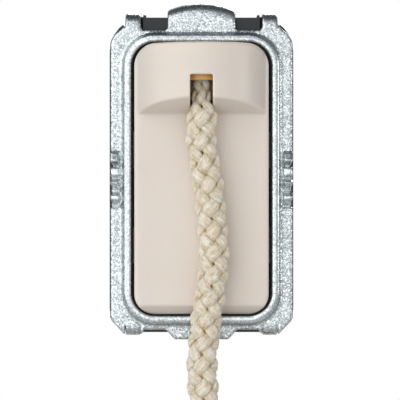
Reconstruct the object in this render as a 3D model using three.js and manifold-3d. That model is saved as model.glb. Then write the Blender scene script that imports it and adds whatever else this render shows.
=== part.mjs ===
// Pull cord switch: one module of a modular wall frame, worked by a hanging cord.
// Units are millimetres. X is to the right, Y runs back into the wall and Z is up.
// The origin is the middle of the yoke's window, on the back of its plate.

import * as THREE from "three";
import { mergeVertices } from "three/addons/utils/BufferGeometryUtils.js";
import Module from "manifold-3d";

const wasm = await Module();
wasm.setup();

// Clearances
const restGap = 0.3; // between pieces that rest on or butt against each other
const slideGap = 0.25; // round a piece that slides or turns in another
const stopGap = 0.15; // what is left between two pieces at the end of a stroke

// Yoke: a pressed sheet with a window, a bead round it, four crimped hooks and two tabs
const sheet = 0.8;
const windowWidth = 19;
const windowHeight = 37;
const windowCorner = 3.25;
const sideStrip = 2.85;
const topStrip = 1.7;
const bottomStrip = 1.9;
const beadWidth = 1.1;
const beadRise = 1.1;
const beadSlope = 0.35;
const hookWidth = 2.1;
const hookInset = 2.05;
const topHookRise = 2.3;
const bottomHookDrop = 0.75;
const topHookBend = 2.1;
const bottomHookBend = 1.4;
const hookFlare = 1.15;
const hookFillet = 1.4; // beside a top hook
const filletRise = 1.2; // of that fillet's end above the plate's top
const plateCorner = 2.2;
const cornerLean = 50; // degrees that the plate's outline turns at a top corner
const shoulder = 0.5;
const latchWidth = 9.2;
const latchRise = 3.7;
const latchCrown = 1.0;
const latchBend = 2;
const latchReach = 2.4;
const tabWidth = 9.6;
const tabDrop = 1.3;
const tabTaper = 0.7;
const detentWidth = 1.5;
const detentPitch = 3.1;
const detentRise = 0.6;

// Front cover: a shallow shell with a hood that hides the lever
const coverGap = 0.45;
const coverWall = 1.0;
const coverFace = 2.5;
const coverEdge = 0.4;
const skirtDepth = 1.9;
const bevelHeight = 1.25;
const bevelDepth = 1.5;
const hoodHeight = 9.25;
const hoodUndercut = 1.95;
const hoodInset = 0.45;
const hoodRoom = 0.4; // in front of the lever's nose
const undersideWall = 0.8;
const slotWidth = 3;
const slotHeight = 3;
const snapWidth = 5;
const snapThickness = 0.8;
const snapBarb = 0.55;
const snapReach = 2.3;
const snapHeights = [-9, 4];

// Rear case: a tub with a front flange that the hooks grip
const flangeProud = 0.1;
const flangeAboveTop = 1.7;
const flangeBelowBottom = 0.35;
const flangeTopCorner = 4.6;
const flangeBottomCorner = 3.2;
const flangeThickness = 2;
const lugWidth = 0.35; // of the case's lugs, beside the top hooks
const lugThickness = 1; // behind the hooks
const lugDrop = 0.25; // from the hooks' edge to the lugs'
const caseStep = 1.15; // from the cover's ends to the tub's
const caseWall = 1.3;
const caseCorner = 2;
const barrierThickness = 1.2;
const stayThickness = 1.2;
const stayHeight = 6.5;

// Lever, its pin, and the cord's stroke
const stroke = 1.6;
const pivotDepth = 14;
const leverThickness = 1;
const leverWidth = 6;
const leverRim = 0.7; // in front of the hole that the cord passes through
const tongueWidth = 4; // of the lever's tongue behind the cord
const tongueThickness = 0.8;
const tongueDrop = 1.4;
const leverShow = 0.75; // how much of the lever's front shows in the slot
const hubRadius = 2.2;
const pinRadius = 1.0;

// Plunger, bridge, contacts and springs
const plungerDepth = 3.6;
const stemWidth = 2.6;
const headWidth = 4;
const headHeight = 1.7;
const collarWidth = 5;
const collarHeight = 0.9;
const bridgeThickness = 0.7;
const bridgeWidth = 3.4;
const bridgeLength = 12.8;
const contactOffset = 5.2;
const contactTipRadius = 1.1;
const contactTipHeight = 0.5;
const contactSpringLength = 4.2;
const springRadius = 2.4;
const springWire = 0.45;
const returnSpringLength = 7.6;
const guidePinLength = 2.5; // of the plunger, in the return spring
const stripThickness = 0.8;
const stripWidth = 2.6;

// Inner frame that carries the lever and guides the plunger
const cheekThickness = 0.9;
const legRoom = 2.1; // between a cheek and the case's wall, for the cover's snap legs
const guideThickness = 1.5;
const guideClearance = 1.1; // between the upper collar and the guide above it
const shelfRim = 0.7; // round the return spring
const frameBack = 13.4;

// Terminals: a cage, the contact's tongue in it and a clamp screw
const cageWidth = 5.4;
const cageHeight = 6;
const cageWall = 1.2;
const wireRoom = 2.5;
const screwDrive = 1.8;
const screwRadius = 1.3;
const screwHeadRadius = 1.9;
const screwHeadHeight = 1;
const screwSlot = 0.6;
const screwRecess = 0.45;
const wireHoleRadius = 1.6;
const cageDrop = 1.1; // from the contact's strip to the cage
const stripFoot = 0.5; // of the contact's tongue below the cage

// Cord, its hank and what is on it
const cordRadius = 2.1;
const neckRadius = 1.25;
const hankTop = -36;
const hankRun = 72;
const hankFold = 10.5; // radius of the inner turn at a fold, on the cord's axis
const hankColumns = 2;
const hankLayers = 3;
const tieHeight = 8;
const tieThickness = 1.1;
const stopLedge = 0.25; // how far the stop overlaps the rim of the lever's hole
const stopHeight = 2;
const knobHeight = 18;
const knobTopRadius = 3.4;
const knobRadius = 6.2;
const knobPocket = 6.5;
const knobPocketRadius = 4.6;
const knobBelowHank = 4;
const knotRadius = 3.6;

// Values that follow from those above
const plateHalfWidth = windowWidth / 2 + sideStrip;
const plateTop = windowHeight / 2 + topStrip;
const plateBottom = -windowHeight / 2 - bottomStrip;
const topHookEdge = plateTop + topHookRise;
const bottomHookEdge = plateBottom - bottomHookDrop;
const hookOuter = plateHalfWidth - hookInset;
const hookInner = hookOuter - hookWidth;
const coverHalfWidth = windowWidth / 2 - coverGap;
const coverHalfHeight = windowHeight / 2 - coverGap;
const coverCorner = windowCorner - coverGap;
const flangeFront = restGap;
const flangeBack = flangeFront + flangeThickness;
const caseHalfWidth = coverHalfWidth + snapBarb + restGap + caseWall;
const caseHalfHeight = coverHalfHeight + caseStep;
const cheekOffset = caseHalfWidth - caseWall - legRoom - cheekThickness;
const frameFront = skirtDepth + restGap;
const tongueFrontEdge = plungerDepth - springRadius - shelfRim;
const frameTopBack = pivotDepth + hubRadius + restGap;
const hoodFoot = coverHalfHeight - hoodHeight;
const hoodEdge = hoodFoot + hoodUndercut;
const slotTop = hoodEdge + slotHeight;
const cordDepth = -coverFace - restGap - cordRadius;
const eyeRadius = neckRadius + restGap;
const eyeSlack = slideGap / 2;
const leverNose = eyeRadius + eyeSlack + leverRim;
const hoodFront = cordDepth - leverNose - hoodRoom - coverWall;
const hoodReach = -coverFace - hoodFront;
const stopRadius = eyeRadius + stopLedge;
const cordArm = pivotDepth - cordDepth;
const halfTilt = Math.asin(stroke / 2 / cordArm);
const leverFrontHeight = slotTop - leverShow; // underside of the lever at the cord, at rest
const pivotHeight = leverFrontHeight + leverThickness / 2 - stroke / 2;
const plungerArm = pivotDepth - plungerDepth;
const plungerStroke = (stroke * plungerArm) / cordArm;
const headTop = pivotHeight + plungerArm * Math.sin(halfTilt) - leverThickness / 2 - restGap;
const headBottom = headTop - headHeight;
const guideTop = headBottom - plungerStroke - restGap;
const guideBottom = guideTop - guideThickness;
const upperCollarTop = guideBottom - guideClearance;
const upperCollarBottom = upperCollarTop - collarHeight;
const bridgeTop = upperCollarBottom - contactSpringLength - 2 * restGap;
const bridgeBottom = bridgeTop - bridgeThickness;
const lowerCollarTop = bridgeBottom - restGap;
const lowerCollarBottom = lowerCollarTop - collarHeight;
const movingTipBottom = bridgeBottom - restGap - contactTipHeight;
const fixedTipTop = movingTipBottom - plungerStroke - stopGap;
const stripTop = fixedTipTop - contactTipHeight - restGap;
const stripBottom = stripTop - stripThickness;
const lowerGuideTop = stripBottom - restGap;
const springSeat = lowerCollarBottom - restGap - returnSpringLength;
const cageFront = frameBack + 1.2;
const tongueFront = cageFront + cageWall + restGap;
const cageHollowBack = tongueFront + stripThickness + wireRoom;
const cageBack = cageHollowBack + cageWall;
const cageTop = stripBottom - cageDrop;
const footBottom = cageTop - cageHeight - stripFoot;
const screwHeight = cageTop - cageHeight / 2;
const screwTip = cageHollowBack + stopGap * 2;
const screwHeadFront = cageBack + screwDrive + stopGap;
const caseDepth = screwHeadFront + screwHeadHeight + screwRecess;
const hankOuter = hankFold + (hankColumns - 1) * 2 * cordRadius + cordRadius;
const hankWaist = hankColumns * 2 * cordRadius;
const hankMiddle = hankTop - hankOuter - hankRun / 2;
const hankBottom = hankMiddle - hankRun / 2 - hankOuter;
const hankFront = cordDepth + cordRadius + restGap;
const hankBack = hankFront + hankLayers * 2 * cordRadius;
const tailDepth = hankBack + restGap + cordRadius;
const knobTop = hankBottom - knobBelowHank;
const knobBottom = knobTop - knobHeight;

// The cord's hand-set route down the front: x and z of its axis, from the neck to the tie
const dropRoute = [
  [0.05, 8.4],
  [-0.07, 5.7],
  [0.59, 1.1],
  [1.13, -2.8],
  [1.47, -6.1],
  [1.67, -9.5],
  [1.52, -12.1],
  [1.27, -14.8],
  [0.73, -18.1],
  [0.16, -22.7],
  [0.14, -26.7],
  [0.45, -30.5],
  [0.5, -35.0],
  [0.3, -42.0],
  [0.1, -52.0],
  [0.0, -64.0],
  [0.0, -80.0],
  [0.0, -96.0],
];

// Outlines are lists of [a, b] pairs.

const stepsPerQuarter = 6;

function arc(a, b, radius, fromDegrees, toDegrees) {
  const turn = toDegrees - fromDegrees;
  const steps = Math.max(2, Math.ceil((Math.abs(turn) / 90) * stepsPerQuarter));
  const points = [];
  for (let i = 0; i <= steps; i++) {
    const angle = THREE.MathUtils.degToRad(fromDegrees + (turn * i) / steps);
    points.push([a + radius * Math.cos(angle), b + radius * Math.sin(angle)]);
  }
  return points;
}

function circle(a, b, radius) {
  return arc(a, b, radius, 0, 360).slice(0, -1);
}

function rectangle(left, right, low, high) {
  return [
    [left, low],
    [right, low],
    [right, high],
    [left, high],
  ];
}

function roundedRectangle(left, right, low, high, radius) {
  return [
    ...arc(right - radius, low + radius, radius, -90, 0),
    ...arc(right - radius, high - radius, radius, 0, 90),
    ...arc(left + radius, high - radius, radius, 90, 180),
    ...arc(left + radius, low + radius, radius, 180, 270),
  ];
}

// Closes a right-hand outline, listed from bottom to top, with its mirror image.
function withMirror(rightHalf) {
  const leftHalf = rightHalf.map(([a, b]) => [-a, b]).reverse();
  return [...rightHalf, ...leftHalf];
}

// Solids

function solid(geometry) {
  geometry.deleteAttribute("normal");
  geometry.deleteAttribute("uv");
  const merged = mergeVertices(geometry, 1e-4);
  const mesh = new wasm.Mesh({
    numProp: 3,
    vertProperties: new Float32Array(merged.attributes.position.array),
    triVerts: new Uint32Array(merged.index.array),
  });
  return new wasm.Manifold(mesh);
}

function shapeOf(points) {
  return new THREE.Shape(points.map(([a, b]) => new THREE.Vector2(a, b)));
}

function prism(points, from, to, matrix, options = { bevelEnabled: false }) {
  const geometry = new THREE.ExtrudeGeometry(shapeOf(points), { depth: to - from, ...options });
  geometry.applyMatrix4(matrix);
  return solid(geometry);
}

// Outline in (y, z), from and to in x.
function alongX(points, from, to) {
  const matrix = new THREE.Matrix4().set(0, 0, 1, from, 1, 0, 0, 0, 0, 1, 0, 0, 0, 0, 0, 1);
  return prism(points, from, to, matrix);
}

// Outline in (x, z), from and to in y.
function alongY(points, from, to) {
  const matrix = new THREE.Matrix4().set(1, 0, 0, 0, 0, 0, -1, to, 0, 1, 0, 0, 0, 0, 0, 1);
  return prism(points, from, to, matrix);
}

// Outline in (x, y), from and to in z.
function alongZ(points, from, to) {
  const matrix = new THREE.Matrix4().makeTranslation(0, 0, from);
  return prism(points, from, to, matrix);
}

// As alongY, with the front edge cut back by edge all round.
function alongYWithFrontEdge(points, from, to, edge) {
  const options = {
    bevelEnabled: true,
    bevelThickness: edge,
    bevelSize: edge,
    bevelOffset: -edge,
    bevelSegments: 2,
  };
  const matrix = new THREE.Matrix4().set(1, 0, 0, 0, 0, 0, -1, to, 0, 1, 0, 0, 0, 0, 0, 1);
  const long = prism(points, from + edge, to, matrix, options);
  const reach = 100;
  return long.intersect(alongY(rectangle(-reach, reach, -reach, reach), from - 1, to));
}

function block(x, y, z) {
  return alongZ(rectangle(x[0], x[1], y[0], y[1]), z[0], z[1]);
}

function join(...solids) {
  return solids.reduce((whole, next) => whole.add(next));
}

function cut(whole, ...tools) {
  return tools.reduce((rest, tool) => rest.subtract(tool), whole);
}

// A piece turned about the z axis: profile is a list of [radius, z] pairs, listed upwards outside.
function turned(profile, x, y, sides = 32) {
  const points = profile.map(([radius, z]) => new THREE.Vector2(radius, z));
  const geometry = new THREE.LatheGeometry(points, sides);
  geometry.rotateX(Math.PI / 2);
  geometry.translate(x, y, 0);
  return solid(geometry);
}

// A round tube along a curve.
function tube(curve, radius, sides, steps) {
  const section = [];
  for (let i = 0; i < sides; i++) {
    const angle = (2 * Math.PI * i) / sides;
    section.push(new THREE.Vector2(radius * Math.cos(angle), radius * Math.sin(angle)));
  }
  const geometry = new THREE.ExtrudeGeometry(new THREE.Shape(section), { extrudePath: curve, steps });
  return solid(geometry);
}

class Helix extends THREE.Curve {
  constructor(x, y, low, high, radius, turns) {
    super();
    Object.assign(this, { x, y, low, high, radius, turns });
  }

  getPoint(t, target = new THREE.Vector3()) {
    const angle = 2 * Math.PI * this.turns * t;
    const x = this.x + this.radius * Math.cos(angle);
    const y = this.y + this.radius * Math.sin(angle);
    return target.set(x, y, this.low + (this.high - this.low) * t);
  }
}

function coilSpring(x, y, low, high, turns) {
  const half = springWire / 2;
  const helix = new Helix(x, y, low + half, high - half, springRadius - half, turns);
  return tube(helix, half, 6, turns * 12);
}

// The scene graph

const model = new THREE.Group();
model.name = "pull_cord_switch";

const finishes = {
  zinc: { color: 0xc6cbca, roughness: 0.45, metalness: 0.9 },
  ivory: { color: 0xe3dace, roughness: 0.45, metalness: 0 },
  black: { color: 0x191b22, roughness: 0.5, metalness: 0 },
  grey: { color: 0x8d9095, roughness: 0.6, metalness: 0 },
  amber: { color: 0xbe7d37, roughness: 0.4, metalness: 0 },
  steel: { color: 0xb0b4b8, roughness: 0.35, metalness: 1 },
  brass: { color: 0xc9a75a, roughness: 0.35, metalness: 1 },
  silver: { color: 0xdadad6, roughness: 0.3, metalness: 1 },
  cord: { color: 0xe6d9c2, roughness: 0.9, metalness: 0 },
  twine: { color: 0xcfc6b4, roughness: 0.9, metalness: 0 },
};

function add(name, body, finish, parent = model) {
  const { vertProperties, triVerts } = body.getMesh();
  const geometry = new THREE.BufferGeometry();
  geometry.setAttribute("position", new THREE.BufferAttribute(new Float32Array(vertProperties), 3));
  geometry.setIndex(new THREE.BufferAttribute(new Uint32Array(triVerts), 1));
  geometry.computeVertexNormals();
  const mesh = new THREE.Mesh(geometry, new THREE.MeshStandardMaterial(finishes[finish]));
  mesh.name = name;
  parent.add(mesh);
}

// Yoke

// The plate's outline from its right side round a corner and up into the hook.
function topCorner() {
  const lean = THREE.MathUtils.degToRad(cornerLean);
  const fillet = arc(hookOuter + hookFillet, plateTop + filletRise, hookFillet, 180 + cornerLean, 180);
  const [filletX, filletZ] = fillet[0];
  const cornerEnd = plateHalfWidth - plateCorner * (1 - Math.cos(lean));
  const leaning = (cornerEnd - filletX) / Math.tan(lean);
  const centre = filletZ - leaning - plateCorner * Math.sin(lean);
  return [...arc(plateHalfWidth - plateCorner, centre, plateCorner, 0, cornerLean), ...fillet];
}

function plateOutline() {
  const tabHalf = tabWidth / 2;
  const latchHalf = latchWidth / 2;
  const crownPoints = [];
  for (let i = 0; i < stepsPerQuarter; i++) {
    const share = 1 - i / stepsPerQuarter;
    crownPoints.push([latchHalf * share, plateTop + latchRise - latchCrown * share * share]);
  }
  return withMirror([
    [tabHalf - tabTaper - shoulder, plateBottom - tabDrop],
    [tabHalf - tabTaper, plateBottom - tabDrop + shoulder],
    [tabHalf, plateBottom],
    [hookInner - shoulder, plateBottom],
    [hookInner, bottomHookEdge],
    [hookOuter, bottomHookEdge],
    [plateHalfWidth - shoulder / 2, plateBottom + hookFlare],
    [plateHalfWidth, plateBottom + hookFlare + shoulder],
    ...topCorner(),
    [hookOuter, topHookEdge],
    [hookInner, topHookEdge],
    [hookInner, plateTop + shoulder],
    [hookInner - shoulder / 2, plateTop],
    [latchHalf + shoulder / 2, plateTop],
    [latchHalf, plateTop + shoulder / 2],
    ...crownPoints,
  ]);
}

// Side profile, in (y, z), of a strap that turns back at the edge and ends in a short lip.
// side is 1 at the top and -1 at the bottom.
function strapProfile(edge, bend, back, lip, side) {
  const centre = -sheet + bend;
  const rise = Math.abs(edge) - bend;
  const root = rise - shoulder / 2;
  const points = [
    [-sheet, root],
    ...arc(centre, rise, bend, 180, 90),
    [back, rise + bend],
    [back, rise + bend - lip],
    [back - sheet, rise + bend - lip],
    [back - sheet, rise + bend - sheet],
    ...arc(centre, rise, bend - sheet, 90, 180),
    [0, root],
  ];
  return points.map(([y, z]) => [y, z * side]);
}

// The detents pressed into a side strip: a ridge across it and a groove under each ridge.
function detents(side) {
  const across = (from, to) => [from * side, to * side].sort((a, b) => a - b);
  const inner = plateHalfWidth - detentWidth;
  const ridges = [];
  const grooves = [];
  for (const top of [detentPitch + detentRise, detentRise]) {
    const crest = top - detentPitch / 3;
    const foot = crest - detentRise;
    const ridge = [
      [-sheet / 2, foot],
      [-sheet / 2, top],
      [-sheet, top],
      [-sheet - detentRise, crest],
      [-sheet, foot],
    ];
    ridges.push(alongX(ridge, ...across(inner, plateHalfWidth - shoulder / 4)));
    const groove = [
      [-sheet - 1, foot - detentRise - 1],
      [-sheet / 2, foot - detentRise],
      [-sheet - 1, foot - detentRise + 1],
    ];
    grooves.push(alongX(groove, ...across(inner, plateHalfWidth + 1)));
  }
  return { ridges, grooves };
}

function yoke() {
  const back = flangeBack + restGap + sheet;
  const lip = sheet + 0.6;
  let flat = alongY(plateOutline(), -sheet, 0);
  const flatHigh = topHookEdge - topHookBend;
  const flatLow = bottomHookEdge + bottomHookBend;
  const spans = [-1, 1].map((side) => [hookInner * side, hookOuter * side].sort((a, b) => a - b));
  const straps = [];
  for (const span of spans) {
    flat = cut(flat, block(span, [-2, 1], [flatHigh, topHookEdge + 1]));
    flat = cut(flat, block(span, [-2, 1], [bottomHookEdge - 1, flatLow]));
    const upper = alongX(strapProfile(topHookEdge, topHookBend, back, lip, 1), ...span);
    const lower = alongX(strapProfile(bottomHookEdge, bottomHookBend, back, lip, -1), ...span);
    straps.push(upper, lower);
  }
  const crown = plateTop + latchRise;
  const latchSpan = [-latchWidth / 2, latchWidth / 2];
  flat = cut(flat, block(latchSpan, [-2, 1], [crown - latchBend, crown + 1]));
  straps.push(alongX(strapProfile(crown, latchBend, latchReach, sheet, 1), ...latchSpan));
  const mask = alongY(plateOutline(), -sheet - 1, back + 1);
  const bent = straps.map((strap) => strap.intersect(mask));

  const halfBead = windowWidth / 2 + beadWidth;
  const beadLow = -windowHeight / 2 - beadWidth;
  const beadHigh = windowHeight / 2 + beadWidth;
  const beadOutline = roundedRectangle(-halfBead, halfBead, beadLow, beadHigh, windowCorner + beadWidth);
  const bead = alongYWithFrontEdge(beadOutline, -sheet - beadRise, -sheet / 2, beadSlope);
  const halfWindow = windowWidth / 2;
  const halfTall = windowHeight / 2;
  const window = alongY(
    roundedRectangle(-halfWindow, halfWindow, -halfTall, halfTall, windowCorner),
    -sheet - beadRise - 1,
    1,
  );
  let body = join(flat, ...bent, bead);
  for (const side of [-1, 1]) {
    const { ridges, grooves } = detents(side);
    body = join(cut(body, ...grooves), ...ridges);
  }
  return cut(body, window);
}

// Front cover

// The hood's bow across the cover, in (x, y), grown by grow all round.
function hoodBow(grow) {
  const half = coverHalfWidth - hoodInset + grow;
  const reach = hoodReach + grow;
  const radius = (half * half + reach * reach) / (2 * reach);
  const centre = -coverFace - reach + radius;
  const spread = THREE.MathUtils.radToDeg(Math.asin(half / radius));
  return [...arc(0, centre, radius, -90 - spread, -90 + spread), [half, 0], [-half, 0]];
}

// The space above the hood's sloping underside, raised by lift, in (y, z).
function aboveUnderside(lift, top) {
  const slope = hoodUndercut / hoodReach;
  const far = coverFace + hoodReach + 3;
  return [
    [0, hoodFoot - slope * coverFace + lift],
    [0, top],
    [-far, top],
    [-far, hoodFoot + slope * (far - coverFace) + lift],
  ];
}

function coverOutline(inset) {
  const half = coverHalfWidth - inset;
  const tall = coverHalfHeight - inset;
  const radius = Math.max(coverCorner - inset, 0.5);
  return roundedRectangle(-half, half, -tall, tall, radius);
}

function hoodSolid(grow, lift, inset) {
  const wide = windowWidth;
  const bow = alongZ(hoodBow(grow), hoodFoot - coverFace, coverHalfHeight);
  const above = alongX(aboveUnderside(lift, coverHalfHeight), -wide, wide);
  const inside = alongY(coverOutline(inset), hoodFront - 1, 0);
  return bow.intersect(above).intersect(inside);
}

function snapLeg(side, height) {
  const outer = coverHalfWidth;
  const inner = outer - snapThickness;
  const tip = skirtDepth + snapReach;
  const catchFront = flangeBack + restGap;
  const profile = [
    [inner, skirtDepth - 1],
    [outer, skirtDepth - 1],
    [outer, catchFront],
    [outer + snapBarb, catchFront],
    [outer, tip],
    [inner, tip],
  ];
  const points = profile.map(([x, y]) => [x * side, y]);
  return alongZ(points, height - snapWidth / 2, height + snapWidth / 2);
}

function frontCover() {
  const shell = alongYWithFrontEdge(coverOutline(0), -coverFace, skirtDepth, coverEdge);
  const hollow = alongY(coverOutline(coverWall), -coverFace + coverWall, skirtDepth + 1);
  const outside = shell.add(hoodSolid(0, 0, 0));
  const hoodHollow = hoodSolid(-coverWall, undersideWall, coverWall);
  const low = -coverHalfHeight;
  const bevel = alongX(
    [
      [-coverFace - 1, low - 1],
      [-coverFace + bevelDepth, low - 1],
      [-coverFace + bevelDepth, low],
      [-coverFace, low + bevelHeight],
      [-coverFace - 1, low + bevelHeight],
    ],
    -windowWidth,
    windowWidth,
  );
  const slotBack = cordDepth + neckRadius + slideGap;
  const half = slotWidth / 2;
  const slot = block([-half, half], [hoodFront - 1, slotBack], [hoodFoot - 1, slotTop]);
  const legs = [-1, 1].flatMap((side) => snapHeights.map((height) => snapLeg(side, height)));
  return cut(outside, bevel, hollow, hoodHollow, slot).add(join(...legs));
}

// Rear case

// A lug beside a top hook and behind it, rooted in the flange and the tub's wall.
function hookLug(side) {
  const hookBack = flangeBack + restGap + sheet;
  const inner = hookInner - restGap - lugWidth;
  const high = topHookEdge - lugDrop;
  const root = caseHalfHeight - caseWall / 2;
  const y = [hookBack + restGap, hookBack + restGap + lugThickness];
  const beside = [inner * side, (hookInner - restGap) * side].sort((a, b) => a - b);
  const behind = [inner * side, (hookOuter - shoulder) * side].sort((a, b) => a - b);
  return [
    block(beside, [flangeFront + restGap, y[1]], [root, high]),
    block(behind, y, [root, high]),
  ];
}

function rearCase() {
  const half = plateHalfWidth + flangeProud;
  const high = plateTop + flangeAboveTop;
  const low = plateBottom - flangeBelowBottom;
  const bottomCorner = arc(half - flangeBottomCorner, low + flangeBottomCorner, flangeBottomCorner, -90, 0);
  const topCorner = arc(half - flangeTopCorner, high - flangeTopCorner, flangeTopCorner, 0, 90);
  const flange = alongY(withMirror([...bottomCorner, ...topCorner]), flangeFront, flangeBack);
  const tub = alongY(
    roundedRectangle(-caseHalfWidth, caseHalfWidth, -caseHalfHeight, caseHalfHeight, caseCorner),
    flangeBack - 1,
    caseDepth,
  );
  const cavityHalf = caseHalfWidth - caseWall;
  const cavityTall = caseHalfHeight - caseWall;
  const cavityCorner = caseCorner - caseWall / 2;
  const cavity = alongY(
    roundedRectangle(-cavityHalf, cavityHalf, -cavityTall, cavityTall, cavityCorner),
    flangeBack,
    caseDepth - caseWall,
  );
  const mouth = alongY(coverOutline(-restGap), 0, flangeBack + 1);
  const pockets = [];
  const holes = [];
  for (const side of [-1, 1]) {
    const span = [(hookInner - restGap) * side, (hookOuter + restGap) * side].sort((a, b) => a - b);
    pockets.push(block(span, [0, flangeBack + 1], [topHookEdge - topHookBend, high + 1]));
    pockets.push(block(span, [0, flangeBack + 1], [low - 1, bottomHookEdge + sheet + restGap]));
    const x = contactOffset * side;
    const access = circle(x, screwHeight, screwHeadRadius + slideGap);
    holes.push(alongY(access, caseDepth - caseWall - 1, caseDepth + 1));
    const wireDepth = (tongueFront + stripThickness + cageHollowBack) / 2;
    const wireHole = circle(x, wireDepth, wireHoleRadius);
    holes.push(alongZ(wireHole, -caseHalfHeight - 1, -caseHalfHeight + caseWall + 1));
  }
  const barrier = block(
    [-barrierThickness / 2, barrierThickness / 2],
    [frameBack + restGap, caseDepth - caseWall / 2],
    [-caseHalfHeight + caseWall / 2, lowerGuideTop - restGap],
  );
  const lugs = [-1, 1].flatMap((side) => hookLug(side));
  const stay = block(
    [-caseHalfWidth + caseWall / 2, caseHalfWidth - caseWall / 2],
    [frameTopBack + restGap, caseDepth - caseWall / 2],
    [stayHeight, stayHeight + stayThickness],
  );
  return join(cut(flange.add(tub), cavity, mouth, ...pockets, ...holes), barrier, stay, ...lugs);
}

// Inner frame

// A shelf across the frame, with a tongue that reaches into the cover's skirt.
function frameShelf(low, high) {
  const half = cheekOffset + cheekThickness / 2;
  const tongue = springRadius + shelfRim;
  const front = frameFront + cheekThickness;
  return join(
    block([-half, half], [front, frameBack - cheekThickness], [low, high]),
    block([-tongue, tongue], [tongueFrontEdge, front + 1], [low, high]),
  );
}

function innerFrame() {
  const outer = cheekOffset + cheekThickness;
  const top = pivotHeight + hubRadius + 1;
  const bottom = springSeat - guideThickness;
  const cheeks = [-1, 1].map((side) => {
    const span = [cheekOffset * side, outer * side].sort((a, b) => a - b);
    const profile = [
      [frameFront, bottom],
      [frameBack, bottom],
      [frameBack, guideBottom],
      [frameTopBack, guideBottom],
      [frameTopBack, top],
      [frameBack - 2, top],
      [frameFront, (guideBottom + guideTop) / 2],
    ];
    return alongX(profile, ...span);
  });
  const stemHole = stemWidth / 2 + slideGap;
  const guide = cut(
    frameShelf(guideBottom, guideTop),
    block(
      [-stemHole, stemHole],
      [plungerDepth - stemHole, plungerDepth + stemHole],
      [guideBottom - 1, guideTop + 1],
    ),
  );
  const springHole = circle(0, plungerDepth, springRadius + slideGap * 2);
  const shelf = cut(
    frameShelf(lowerGuideTop - guideThickness, lowerGuideTop),
    alongZ(springHole, lowerGuideTop - guideThickness - 1, lowerGuideTop + 1),
  );
  const seat = frameShelf(springSeat - guideThickness, springSeat - restGap);
  const pinHole = alongX(circle(pivotDepth, pivotHeight, pinRadius + stopGap), -outer - 1, outer + 1);
  return cut(join(...cheeks, guide, shelf, seat), pinHole);
}

// Lever: drawn level about its pivot, then tilted up by half of its swing

function pullLever() {
  const half = leverWidth / 2;
  const nose = -cordArm - leverNose;
  const planform = [
    [-half, hubRadius / 2],
    [-half, nose + half],
    ...arc(0, nose + half, half, 180, 360).slice(1, -1),
    [half, nose + half],
    [half, hubRadius / 2],
  ];
  const arm = alongZ(planform, -leverThickness / 2, leverThickness / 2);
  const hub = alongX(circle(0, 0, hubRadius), -half, half);
  const bore = alongX(circle(0, 0, pinRadius + slideGap), -half - 1, half + 1);
  const eye = [
    ...arc(0, -cordArm + eyeSlack, eyeRadius, 0, 180),
    ...arc(0, -cordArm - eyeSlack, eyeRadius, 180, 360),
  ];
  const behindCord = -cordArm + eyeSlack + eyeRadius + slideGap / 2;
  const tongue = block(
    [-tongueWidth / 2, tongueWidth / 2],
    [behindCord, behindCord + tongueThickness],
    [-leverThickness / 2 - tongueDrop, 0],
  );
  return cut(join(arm, hub, tongue), bore, alongZ(eye, -hubRadius, hubRadius));
}

// Plunger with its bridge, tips and contact spring

function plunger() {
  const square = (width) => {
    const half = width / 2;
    return rectangle(-half, half, plungerDepth - half, plungerDepth + half);
  };
  const guidePin = circle(0, plungerDepth, springRadius - springWire - slideGap * 2);
  return join(
    alongZ(square(headWidth), headBottom, headTop),
    alongZ(square(stemWidth), lowerCollarBottom, headBottom + headHeight / 2),
    alongZ(square(collarWidth), upperCollarBottom, upperCollarTop),
    alongZ(square(collarWidth), lowerCollarBottom, lowerCollarTop),
    alongZ(guidePin, lowerCollarBottom - guidePinLength, lowerCollarBottom + collarHeight / 2),
  );
}

function contactBridge() {
  const half = bridgeLength / 2;
  const y = [plungerDepth - bridgeWidth / 2 - restGap, plungerDepth + bridgeWidth / 2 + restGap];
  const hole = stemWidth / 2 + restGap / 2;
  return cut(
    block([-half, half], y, [bridgeBottom, bridgeTop]),
    block([-hole, hole], [plungerDepth - hole, plungerDepth + hole], [bridgeBottom - 1, bridgeTop + 1]),
  );
}

function contactTip(side, top) {
  return alongZ(circle(contactOffset * side, plungerDepth, contactTipRadius), top - contactTipHeight, top);
}

// A strip under the tip that runs back and turns down into its terminal cage.
function fixedContact(side) {
  const x = contactOffset * side;
  const tongueBack = tongueFront + stripThickness;
  const profile = [
    [plungerDepth - contactTipRadius - restGap, stripBottom],
    [tongueFront, stripBottom],
    [tongueFront, footBottom],
    [tongueBack, footBottom],
    [tongueBack, stripTop],
    [plungerDepth - contactTipRadius - restGap, stripTop],
  ];
  return alongX(profile, x - stripWidth / 2, x + stripWidth / 2);
}

// Terminals

function terminalCage(side) {
  const x = contactOffset * side;
  const z = [cageTop - cageHeight, cageTop];
  const outside = block([x - cageWidth / 2, x + cageWidth / 2], [cageFront, cageBack], z);
  const hollow = block(
    [x - cageWidth / 2 + cageWall, x + cageWidth / 2 - cageWall],
    [cageFront + cageWall, cageHollowBack],
    [z[0] - 1, z[1] + 1],
  );
  const thread = alongY(circle(x, screwHeight, screwRadius + stopGap), cageHollowBack - 1, cageBack + 1);
  return cut(outside, hollow, thread);
}

function terminalScrew(side) {
  const x = contactOffset * side;
  const headBack = screwHeadFront + screwHeadHeight;
  const shank = alongY(circle(x, screwHeight, screwRadius), screwTip, screwHeadFront + screwHeadHeight / 2);
  const head = alongY(circle(x, screwHeight, screwHeadRadius), screwHeadFront, headBack);
  const reach = screwHeadRadius + 1;
  const slot = block(
    [x - reach, x + reach],
    [headBack - screwHeadHeight / 2, headBack + 1],
    [screwHeight - screwSlot / 2, screwHeight + screwSlot / 2],
  );
  return cut(shank.add(head), slot);
}

// Cord

function dropCurve() {
  return new THREE.CatmullRomCurve3(dropRoute.map(([x, z]) => new THREE.Vector3(x, cordDepth, z)));
}

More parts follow.
